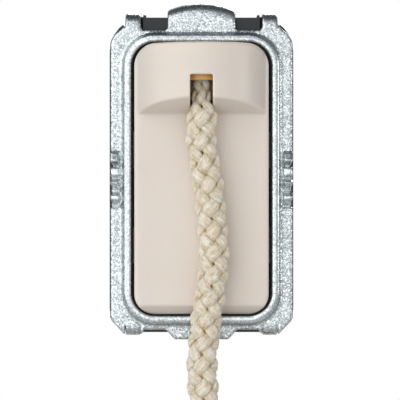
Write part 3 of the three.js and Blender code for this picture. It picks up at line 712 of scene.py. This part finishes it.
def top_corner():
    """The plate's outline from its right side round a corner and up into the hook."""
    lean = math.radians(CORNER_LEAN)
    fillet = arc(HOOK_OUTER + HOOK_FILLET, PLATE_TOP + FILLET_RISE, HOOK_FILLET, 180 + CORNER_LEAN, 180)
    fillet_x, fillet_z = fillet[0]
    corner_end = PLATE_HALF_WIDTH - PLATE_CORNER * (1 - math.cos(lean))
    leaning = (corner_end - fillet_x) / math.tan(lean)
    centre = fillet_z - leaning - PLATE_CORNER * math.sin(lean)
    return [*arc(PLATE_HALF_WIDTH - PLATE_CORNER, centre, PLATE_CORNER, 0, CORNER_LEAN), *fillet]


def plate_right_half():
    """The plate's outline right of the middle, listed from the bottom to the top."""
    crown = [
        (LATCH_HALF_WIDTH * s, PLATE_TOP + LATCH_RISE - LATCH_CROWN * s * s)
        for s in (1, 0.8, 0.6, 0.4, 0.2, 0)
    ]
    top = PLATE_TOP + LATCH_RISE
    return [
        (-TAB_HALF_WIDTH, PLATE_BOTTOM - TAB_DROP),
        (TAB_HALF_WIDTH - TAB_TAPER - SHOULDER, PLATE_BOTTOM - TAB_DROP),
        (TAB_HALF_WIDTH - TAB_TAPER, PLATE_BOTTOM - TAB_DROP + SHOULDER),
        (TAB_HALF_WIDTH, PLATE_BOTTOM),
        (HOOK_INNER - SHOULDER, PLATE_BOTTOM),
        (HOOK_INNER, BOTTOM_HOOK_EDGE),
        (HOOK_OUTER, BOTTOM_HOOK_EDGE),
        (PLATE_HALF_WIDTH - SHOULDER / 2, PLATE_BOTTOM + HOOK_FLARE),
        (PLATE_HALF_WIDTH, PLATE_BOTTOM + HOOK_FLARE + SHOULDER),
        *top_corner(),
        (HOOK_OUTER, TOP_HOOK_EDGE),
        (HOOK_INNER, TOP_HOOK_EDGE),
        (HOOK_INNER, PLATE_TOP + SHOULDER),
        (HOOK_INNER - SHOULDER / 2, PLATE_TOP),
        (LATCH_HALF_WIDTH + SHOULDER / 2, PLATE_TOP),
        (LATCH_HALF_WIDTH, PLATE_TOP + SHOULDER / 2),
        *crown,
        (-TAB_HALF_WIDTH, top),
    ]


def strap_profile(edge, bend, back, lip):
    """Side outline, in (y, distance from the middle), of a strap that turns back at its edge."""
    centre = -SHEET + bend
    rise = edge - bend
    root = rise - SHOULDER
    return [
        (-SHEET, root),
        *arc(centre, rise, bend, 180, 90, 16),
        (back, rise + bend),
        (back, rise + bend - lip),
        (back - SHEET, rise + bend - lip),
        (back - SHEET, rise + bend - SHEET),
        *arc(centre, rise, bend - SHEET, 90, 180, 16),
        (0, root),
    ]


def detent_rise(x, z):
    """How proud the pressed detents stand at the outer edge of each side strip."""
    inner = PLATE_HALF_WIDTH - DETENT_WIDTH
    across = np.clip((x - inner) / DETENT_RAMP, 0, 1)
    return across * np.interp(z, DETENT_HEIGHTS, DETENT_RISES)


def yoke_field(x, y, z):
    x = np.abs(x)
    plan = polygon(plate_right_half(), x, z)
    for height in NOTCH_HEIGHTS:
        notch = np.hypot(x - PLATE_HALF_WIDTH - NOTCH_OUTSIDE, z - height) - NOTCH_RADIUS
        plan = cut(plan, notch, NOTCH_EDGE)
    front = -SHEET - detent_rise(x, z)
    plate = met(plan, DETENT_EASE * np.maximum(front - y, y), PLATE_EDGE)
    hook_span = slab(x, HOOK_INNER, HOOK_OUTER)
    hook_gap = hook_span - STRAP_PLAY
    plate = np.maximum(plate, -met(hook_gap, TOP_HOOK_EDGE - TOP_HOOK_BEND - z, 0))
    plate = np.maximum(plate, -met(hook_gap, z - BOTTOM_HOOK_EDGE - BOTTOM_HOOK_BEND, 0))
    arch = z + LATCH_CROWN * (x / LATCH_HALF_WIDTH) ** 2
    crown = PLATE_TOP + LATCH_RISE
    latch_span = slab(x, -1, LATCH_HALF_WIDTH)
    plate = np.maximum(plate, -met(latch_span - STRAP_PLAY, crown - LATCH_BEND - arch, 0))
    upper = polygon(strap_profile(TOP_HOOK_EDGE, TOP_HOOK_BEND, HOOK_BACK, HOOK_LIP), y, z)
    lower = polygon(strap_profile(-BOTTOM_HOOK_EDGE, BOTTOM_HOOK_BEND, HOOK_BACK, HOOK_LIP), y, -z)
    latch = polygon(strap_profile(crown, LATCH_BEND, LATCH_REACH, SHEET), y, arch)
    for profile, span in ((upper, hook_span), (lower, hook_span), (latch, latch_span)):
        plate = joined(plate, met(profile, span, STRAP_EDGE), STRAP_FILLET)
    from_window = rounded_rectangle(x, z, WINDOW_HALF_WIDTH, WINDOW_HALF_HEIGHT, WINDOW_CORNER)
    bead = met(from_window - BEAD_WIDTH, slab(y, -SHEET - BEAD_RISE, -SHEET / 2), BEAD_EDGE)
    return cut(joined(plate, bead, BEAD_FILLET), from_window, WINDOW_EDGE)


def make_yoke():
    low = (-PLATE_HALF_WIDTH, -SHEET - BEAD_RISE, PLATE_BOTTOM - TAB_DROP)
    high = (PLATE_HALF_WIDTH, HOOK_BACK, PLATE_TOP + LATCH_RISE)
    return surface("yoke_pressing", yoke_field, low, high, YOKE_CELL)


# ---------------------------------------------------------------- front cover

SHELL_EDGE = 0.5
HOOD_EDGE = 0.3
HOOD_FILLET = 0.2
BEVEL_EDGE = 0.15
HOLLOW_EDGE = 0.3
SLOT_CORNER = 0.2
SLOT_EDGE = 0.15
COVER_CELL = 0.19


def bow(x, y, half, reach):
    """Signed distance from the hood's bowed front, an arc through three points."""
    radius = (half * half + reach * reach) / (2 * reach)
    return np.hypot(x, y + COVER_FACE + reach - radius) - radius


def above_underside(y, z, lift):
    slope = HOOD_UNDERCUT / HOOD_REACH
    return (HOOD_FOOT + lift + slope * (-y - COVER_FACE) - z) / math.hypot(1, slope)


def snap_legs(x, y, z):
    inner = COVER_HALF_WIDTH - SNAP_THICKNESS
    tip = SKIRT_DEPTH + SNAP_REACH
    profile = [
        (inner, SKIRT_DEPTH - 1),
        (COVER_HALF_WIDTH, SKIRT_DEPTH - 1),
        (COVER_HALF_WIDTH, CATCH_FRONT),
        (COVER_HALF_WIDTH + SNAP_BARB, CATCH_FRONT),
        (COVER_HALF_WIDTH, tip),
        (inner, tip),
    ]
    section = polygon(profile, x, y)
    spans = [np.abs(z - height) - SNAP_WIDTH / 2 for height in SNAP_HEIGHTS]
    return met(section, np.minimum(*spans), 0.1)


def cover_field(x, y, z):
    x = np.abs(x)
    growth = COVER_BOTTOM_GROWTH / 2
    plan = rounded_rectangle(
        x, z + growth, COVER_HALF_WIDTH, COVER_HALF_HEIGHT + growth, COVER_CORNER
    )
    inner_plan = rounded_rectangle(
        x, z, COVER_HALF_WIDTH - COVER_WALL, COVER_HALF_HEIGHT - COVER_WALL, COVER_CORNER - COVER_WALL
    )
    shell = met(plan, slab(y, -COVER_FACE, SKIRT_DEPTH), SHELL_EDGE)
    hood = met(bow(x, y, HOOD_HALF_WIDTH, HOOD_REACH), above_underside(y, z, 0), HOOD_EDGE)
    hood = met(met(hood, plan, SHELL_EDGE), y, 0)
    outside = joined(shell, hood, HOOD_FILLET)
    drop, depth = BEVEL_HEIGHT, BEVEL_DEPTH
    bevel_top = drop - COVER_HALF_HEIGHT - COVER_BOTTOM_GROWTH
    bevel = (-drop * (y + COVER_FACE) - depth * (z - bevel_top)) / math.hypot(drop, depth)
    outside = met(outside, bevel, BEVEL_EDGE)
    hollow = met(inner_plan, COVER_WALL - COVER_FACE - y, HOLLOW_EDGE)
    room = met(
        bow(x, y, HOOD_HALF_WIDTH - COVER_WALL, HOOD_REACH - COVER_WALL),
        above_underside(y, z, UNDERSIDE_WALL),
        HOLLOW_EDGE,
    )
    room = met(met(room, inner_plan, HOLLOW_EDGE), y, 0)
    slot = met(x - SLOT_HALF_WIDTH, slab(z, HOOD_FOOT - 2, SLOT_TOP), SLOT_CORNER)
    slot = met(slot, y - SLOT_BACK, SLOT_CORNER)
    shape = cut(cut(outside, np.minimum(hollow, room), 0.1), slot, SLOT_EDGE)
    return np.minimum(shape, snap_legs(x, y, z))


def make_cover():
    low = (-COVER_HALF_WIDTH - SNAP_BARB, -COVER_FACE - HOOD_REACH, -COVER_HALF_HEIGHT)
    high = (COVER_HALF_WIDTH + SNAP_BARB, SKIRT_DEPTH + SNAP_REACH, COVER_HALF_HEIGHT)
    return surface("cover_moulding", cover_field, low, high, COVER_CELL)


# ---------------------------------------------------------------- materials


class Finish:
    """A Principled material and short ways to add the nodes that vary it."""

    def __init__(self, name, colour, roughness, **sockets):
        self.material = bpy.data.materials.new(name)
        self.material.use_nodes = True
        self.tree = self.material.node_tree
        self.shader = self.tree.nodes["Principled BSDF"]
        self.shader.inputs["Base Color"].default_value = (*colour, 1)
        self.shader.inputs["Roughness"].default_value = roughness
        for socket, value in sockets.items():
            self.shader.inputs[socket.replace("_", " ")].default_value = value

    def node(self, kind, **values):
        made = self.tree.nodes.new(kind)
        for name, value in values.items():
            setattr(made, name, value)
        return made

    def link(self, output, target, socket):
        self.tree.links.new(output, target.inputs[socket])
        return target

    def place(self, scale=(1, 1, 1)):
        """Object coordinates, in millimetres over scale."""
        mapping = self.node("ShaderNodeMapping")
        mapping.inputs["Scale"].default_value = [s / MM for s in scale]
        self.link(self.node("ShaderNodeTexCoord").outputs["Object"], mapping, "Vector")
        return mapping.outputs["Vector"]

    def noise(self, place, scale, detail=3.0):
        made = self.node("ShaderNodeTexNoise")
        made.inputs["Scale"].default_value = scale
        made.inputs["Detail"].default_value = detail
        made.inputs["Roughness"].default_value = 0.6
        self.link(place, made, "Vector")
        return made.outputs["Fac"]

    def ramp(self, factor, stops):
        made = self.node("ShaderNodeValToRGB")
        elements = made.color_ramp.elements
        while len(elements) < len(stops):
            elements.new(0.5)
        for element, (position, colour) in zip(elements, stops):
            element.position = position
            element.color = (*colour, 1)
        self.link(factor, made, "Fac")
        return made.outputs["Color"]

    def spread(self, factor, low, high):
        made = self.node("ShaderNodeMapRange")
        made.inputs["To Min"].default_value = low
        made.inputs["To Max"].default_value = high
        self.link(factor, made, "Value")
        return made.outputs["Result"]

    def product(self, a, b):
        """Two colours multiplied."""
        made = self.node("ShaderNodeMix", data_type="RGBA", blend_type="MULTIPLY")
        made.inputs[0].default_value = 1.0
        self.link(a, made, 6)
        self.link(b, made, 7)
        return made.outputs[2]

    def bump(self, height, strength, distance, normal=None):
        made = self.node("ShaderNodeBump")
        made.inputs["Strength"].default_value = strength
        made.inputs["Distance"].default_value = distance * MM
        self.link(height, made, "Height")
        if normal:
            self.link(normal, made, "Normal")
        return made.outputs["Normal"]

    def set(self, **links):
        for socket, output in links.items():
            self.link(output, self.shader, socket.replace("_", " "))
        return self.material


def flatness(f, place):
    """1 on the sheet's flat front, less on its bead, its bends and its pressed edge."""
    near = 0.12
    least = 0.25
    at = f.node("ShaderNodeSeparateXYZ")
    f.link(place, at, "Vector")
    away = f.node("ShaderNodeMath", operation="COMPARE")
    away.inputs[1].default_value = -SHEET
    away.inputs[2].default_value = near
    f.link(at.outputs["Y"], away, 0)
    flat = f.node("ShaderNodeMapRange")
    flat.inputs["To Min"].default_value = least
    f.link(away.outputs["Value"], flat, "Value")
    return flat.outputs["Result"]


def galvanised():
    """Zinc-coated steel: fine crystals that each lean and shine a little differently."""
    f = Finish("galvanised_steel", (0.8, 0.82, 0.83), 0.4, Metallic=1.0)
    place = f.place()
    flat = flatness(f, place)
    normal = f.node("ShaderNodeNewGeometry").outputs["Normal"]
    cells = []
    for density, lean in ((4.0, 0.14), (7.5, 0.44)):
        crystals = f.node("ShaderNodeTexVoronoi")
        crystals.inputs["Scale"].default_value = density
        f.link(place, crystals, "Vector")
        cells.append(crystals)
        centred = f.node("ShaderNodeVectorMath", operation="SUBTRACT")
        f.link(crystals.outputs["Color"], centred, 0)
        centred.inputs[1].default_value = (0.5, 0.5, 0.5)
        leaning = f.node("ShaderNodeMath", operation="MULTIPLY")
        f.link(flat, leaning, 0)
        leaning.inputs[1].default_value = lean
        scaled = f.node("ShaderNodeVectorMath", operation="SCALE")
        f.link(centred.outputs["Vector"], scaled, 0)
        f.link(leaning.outputs["Value"], scaled, "Scale")
        added = f.node("ShaderNodeVectorMath", operation="ADD")
        f.link(normal, added, 0)
        f.link(scaled.outputs["Vector"], added, 1)
        normal = added.outputs["Vector"]
    even = f.node("ShaderNodeVectorMath", operation="NORMALIZE")
    f.link(normal, even, 0)
    grain = f.noise(place, 6.0, 4.0)
    colour = f.ramp(
        cells[0].outputs["Color"], [(0.1, (0.4, 0.44, 0.45)), (0.9, (0.78, 0.82, 0.82))]
    )
    return f.set(
        Base_Color=colour,
        Roughness=f.spread(grain, 0.16, 0.4),
        Normal=f.bump(grain, 0.2, 0.03, even.outputs["Vector"]),
    )


def moulded(name, colour, shade, roughness, **sockets):
    """Moulded plastic with a fine spark-eroded texture and faint uneven colour."""
    f = Finish(name, colour, roughness, **sockets)
    broad = f.noise(f.place(), 0.09, 2.0)
    fine = f.noise(f.place(), 4.5)
    tint = f.ramp(broad, [(0.3, shade), (0.7, colour)])
    return f.set(
        Base_Color=tint,
        Roughness=f.spread(fine, roughness - 0.06, roughness + 0.08),
        Normal=f.bump(fine, 0.12, 0.03),
    )


def metal(name, colour, shade, roughness, stretch=(1, 1, 1)):
    """Plain metal with rolled or turned lines along one direction."""
    f = Finish(name, colour, roughness, Metallic=1.0)
    lines = f.noise(f.place(stretch), 3.0, 4.0)
    tint = f.ramp(lines, [(0.25, shade), (0.75, colour)])
    return f.set(
        Base_Color=tint,
        Roughness=f.spread(lines, roughness - 0.08, roughness + 0.12),
        Normal=f.bump(lines, 0.2, 0.02),
    )


def braided():
    """Cream synthetic yarn: fine filaments along each strand, with painted shade down in the creases
    and painted highlight flecks.
    """
    softness = {
        "Subsurface_Weight": 0.4,
        "Subsurface_Radius": (1.0, 0.75, 0.45),
        "Subsurface_Scale": 0.6 * MM,
    }
    f = Finish("cord_yarn", (0.86, 0.79, 0.66), 0.75, Sheen_Weight=0.25, **softness)
    fibre = f.node("ShaderNodeAttribute", attribute_name="fibre").outputs["Vector"]
    stretched = f.node("ShaderNodeMapping")
    stretched.inputs["Scale"].default_value = (0.4, 1.5, 0.9)
    f.link(fibre, stretched, "Vector")
    filaments = f.noise(stretched.outputs["Vector"], 3.4)
    parts = f.node("ShaderNodeSeparateXYZ")
    f.link(fibre, parts, "Vector")
    # Painted highlights: scattered patches of the yarn are coloured near white, standing for flecks of
    # light on the strands.
    painted_highlight_flecks = f.noise(f.place(), 1.3)
    # Painted shade: the yarn is coloured darker and warmer where a strand's surface lies low, down in
    # the creases between strands.
    depth = f.ramp(
        parts.outputs["Z"],
        [(0.0, (0.74, 0.63, 0.45)), (0.45, (0.87, 0.8, 0.66)), (0.85, (0.94, 0.89, 0.81))],
    )
    streaks = f.ramp(filaments, [(0.34, (0.74, 0.65, 0.49)), (0.58, (1, 1, 1))])
    uneven = f.ramp(painted_highlight_flecks, [(0.34, (0.86, 0.79, 0.66)), (0.62, (1, 1, 1))])
    colour = f.product(f.product(depth, streaks), uneven)
    return f.set(
        Base_Color=colour,
        Roughness=f.spread(filaments, 0.6, 0.9),
        Normal=f.bump(filaments, 0.9, 0.2),
    )


def woven_tape():
    f = Finish("tie_tape", (0.7, 0.66, 0.58), 0.8)
    wave = f.node("ShaderNodeTexWave", bands_direction="Z")
    wave.inputs["Scale"].default_value = 0.9
    wave.inputs["Distortion"].default_value = 1.5
    f.link(f.place(), wave, "Vector")
    weave = f.noise(f.place((3, 3, 1)), 1.5)
    tint = f.ramp(weave, [(0.3, (0.55, 0.51, 0.43)), (0.7, (0.76, 0.72, 0.64))])
    rough = f.bump(weave, 0.4, 0.08, f.bump(wave.outputs["Fac"], 0.4, 0.1))
    return f.set(Base_Color=tint, Roughness=f.spread(weave, 0.7, 0.9), Normal=rough)


ZINC = galvanised()
IVORY_DEPTH = {
    "Subsurface_Weight": 0.45,
    "Subsurface_Radius": (1.0, 0.6, 0.32),
    "Subsurface_Scale": 1.6 * MM,
}
AMBER_DEPTH = {
    "Subsurface_Weight": 0.6,
    "Subsurface_Radius": (1.0, 0.5, 0.15),
    "Subsurface_Scale": 1.5 * MM,
}
IVORY = moulded("ivory_plastic", (0.8, 0.715, 0.635), (0.77, 0.685, 0.6), 0.38, **IVORY_DEPTH)
BLACK = moulded("black_plastic", (0.012, 0.013, 0.018), (0.008, 0.009, 0.013), 0.45)
GREY = moulded("grey_plastic", (0.26, 0.27, 0.29), (0.22, 0.23, 0.25), 0.5)
# The lever's amber is partly its own colour and partly painted light: it is made bright so that the
# deep slot round the lever looks warmly lit.
AMBER_WITH_PAINTED_LIGHT = moulded("amber_plastic", (0.9, 0.5, 0.17), (0.84, 0.43, 0.13), 0.35, **AMBER_DEPTH)
STEEL = metal("bright_steel", (0.66, 0.68, 0.7), (0.5, 0.52, 0.54), 0.3, (1, 1, 4))
BRASS = metal("brass", (0.82, 0.62, 0.28), (0.66, 0.46, 0.18), 0.3, (0.3, 3, 3))
SILVER = metal("contact_silver", (0.86, 0.85, 0.82), (0.7, 0.69, 0.66), 0.25)
YARN = braided()
TAPE = woven_tape()

NODE_FINISHES = {
    "rear_case": BLACK,
    "inner_frame": GREY,
    "lever_pin": STEEL,
    "pull_lever": AMBER_WITH_PAINTED_LIGHT,
    "plunger": IVORY,
    "contact_bridge": BRASS,
    "contact_spring": STEEL,
    "return_spring": STEEL,
    "cord_stop": BRASS,
}
PAIRED_FINISHES = {
    "moving_tip": SILVER,
    "fixed_tip": SILVER,
    "fixed_contact": BRASS,
    "terminal_cage": BRASS,
    "terminal_screw": STEEL,
}
for stem, finish in PAIRED_FINISHES.items():
    for end in ("left", "right"):
        NODE_FINISHES[f"{stem}_{end}"] = finish


SHARP_ANGLE = 35


def dress(piece, finish):
    piece.data.materials.clear()
    piece.data.materials.append(finish)


def dress_node(name, finish):
    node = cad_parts[name]
    dress(node, finish)
    node.data.shade_smooth()
    node.data.set_sharp_from_angle(angle=math.radians(SHARP_ANGLE))


# ---------------------------------------------------------------- pieces on their bodies

for node_name, node_finish in NODE_FINISHES.items():
    dress_node(node_name, node_finish)

cord, cord_line, cord_length = make_cord()
knot = make_knot()
knob = make_knob()
tie = make_tie()
yoke = make_yoke()
cover = make_cover()

PIECES = [
    (cord, "cord", YARN, "cord_fibre", ["cord_neck", "cord_drop", "cord_hank", "cord_tail"]),
    (knot, "cord", YARN, "cord_fibre", ["knob_knot"]),
    (knob, "cord", IVORY, "ivory_plastic", ["pull_knob"]),
    (tie, "cord", TAPE, "tie_tape", ["hank_tie"]),
    (yoke, "housing", ZINC, "zinc_steel", ["yoke"]),
    (cover, "housing", IVORY, "ivory_plastic", ["front_cover"]),
]
for piece, body, finish, slot, nodes in PIECES:
    dress(piece, finish)
    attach(piece, body)
    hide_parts(*nodes)

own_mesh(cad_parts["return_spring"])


# ---------------------------------------------------------------- floor, light and world

FLOOR_HALF = 0.4
FLOOR_GAP = 0.004


def add_floor():
    half = FLOOR_HALF
    height = cad_low.z - FLOOR_GAP
    corners = [(-half, -half), (half, -half), (half, half), (-half, half)]
    mesh = bpy.data.meshes.new("floor")
    mesh.from_pydata([(x, y, height) for x, y in corners], [], [(0, 1, 2, 3)])
    floor = bpy.data.objects.new("floor", mesh)
    bpy.context.scene.collection.objects.link(floor)
    f = Finish("pale_floor", (0.82, 0.82, 0.82), 0.6)
    dress(floor, f.set(Roughness=f.spread(f.noise(f.place(), 0.02), 0.5, 0.7)))


def add_light(name, place, size, power, colour=(1, 1, 1)):
    data = bpy.data.lights.new(name, "AREA")
    data.size = size
    data.energy = power
    data.color = colour
    lamp = bpy.data.objects.new(name, data)
    lamp.location = place
    lamp.visible_camera = False
    lamp.rotation_euler = (-Vector(place)).to_track_quat("-Z", "Y").to_euler()
    bpy.context.scene.collection.objects.link(lamp)


# How the room lights the switch from the front, the right, below and behind: the axis,
# where along it the light is full and where it has faded out, its colour and its strength
ROOM = [
    ("Y", -0.9, -0.2, (0.95, 0.97, 1.0), 0.62),
    ("X", 1.0, 0.5, (1.0, 0.96, 0.9), 0.22),
    ("Z", -1.0, -0.1, (1.0, 0.82, 0.58), 0.18),
    ("Y", 1.0, 0.5, (1.0, 1.0, 1.0), 0.3),
]
ROOM_REST = (0.08, 0.09, 0.1)


def room_light(tree, towards, axis, full, none, colour, strength):
    """Light that comes from one side of the room and fades out towards the others."""
    fade = tree.nodes.new("ShaderNodeMapRange")
    fade.interpolation_type = "SMOOTHSTEP"
    fade.inputs["From Min"].default_value = none
    fade.inputs["From Max"].default_value = full
    fade.inputs["To Max"].default_value = strength
    tree.links.new(towards.outputs[axis], fade.inputs["Value"])
    tinted = tree.nodes.new("ShaderNodeVectorMath")
    tinted.operation = "SCALE"
    tinted.inputs[0].default_value = colour
    tree.links.new(fade.outputs["Result"], tinted.inputs["Scale"])
    return tinted.outputs["Vector"]


def add_world():
    """White to the camera. Each side of the room lights the switch differently."""
    world = bpy.data.worlds.new("studio")
    bpy.context.scene.world = world
    world.use_nodes = True
    tree = world.node_tree
    background = tree.nodes["Background"]
    towards = tree.nodes.new("ShaderNodeSeparateXYZ")
    tree.links.new(tree.nodes.new("ShaderNodeTexCoord").outputs["Generated"], towards.inputs[0])
    total = None
    for axis, full, none, colour, strength in ROOM:
        light = room_light(tree, towards, axis, full, none, colour, strength)
        added = tree.nodes.new("ShaderNodeVectorMath")
        tree.links.new(light, added.inputs[0])
        if total is None:
            added.inputs[1].default_value = ROOM_REST
        else:
            tree.links.new(total, added.inputs[1])
        total = added.outputs["Vector"]
    choose = tree.nodes.new("ShaderNodeMix")
    choose.data_type = "RGBA"
    seen = tree.nodes.new("ShaderNodeLightPath").outputs["Is Camera Ray"]
    tree.links.new(seen, choose.inputs[0])
    tree.links.new(total, choose.inputs[6])
    choose.inputs[7].default_value = (1, 1, 1, 1)
    tree.links.new(choose.outputs[2], background.inputs["Color"])


add_floor()
add_world()
add_light("key", (-0.4, -0.34, 0.2), 0.9, 3.1, (0.97, 0.975, 1.0))
add_light("front", (0.02, -0.6, 0.0), 0.25, 0.24, (1.0, 0.97, 0.94))
add_light("edge", (0.5, -0.12, 0.05), 0.12, 0.35)
add_light("back", (0.15, 0.7, 0.4), 0.4, 2.2)
bpy.context.scene.view_settings.view_transform = "Standard"
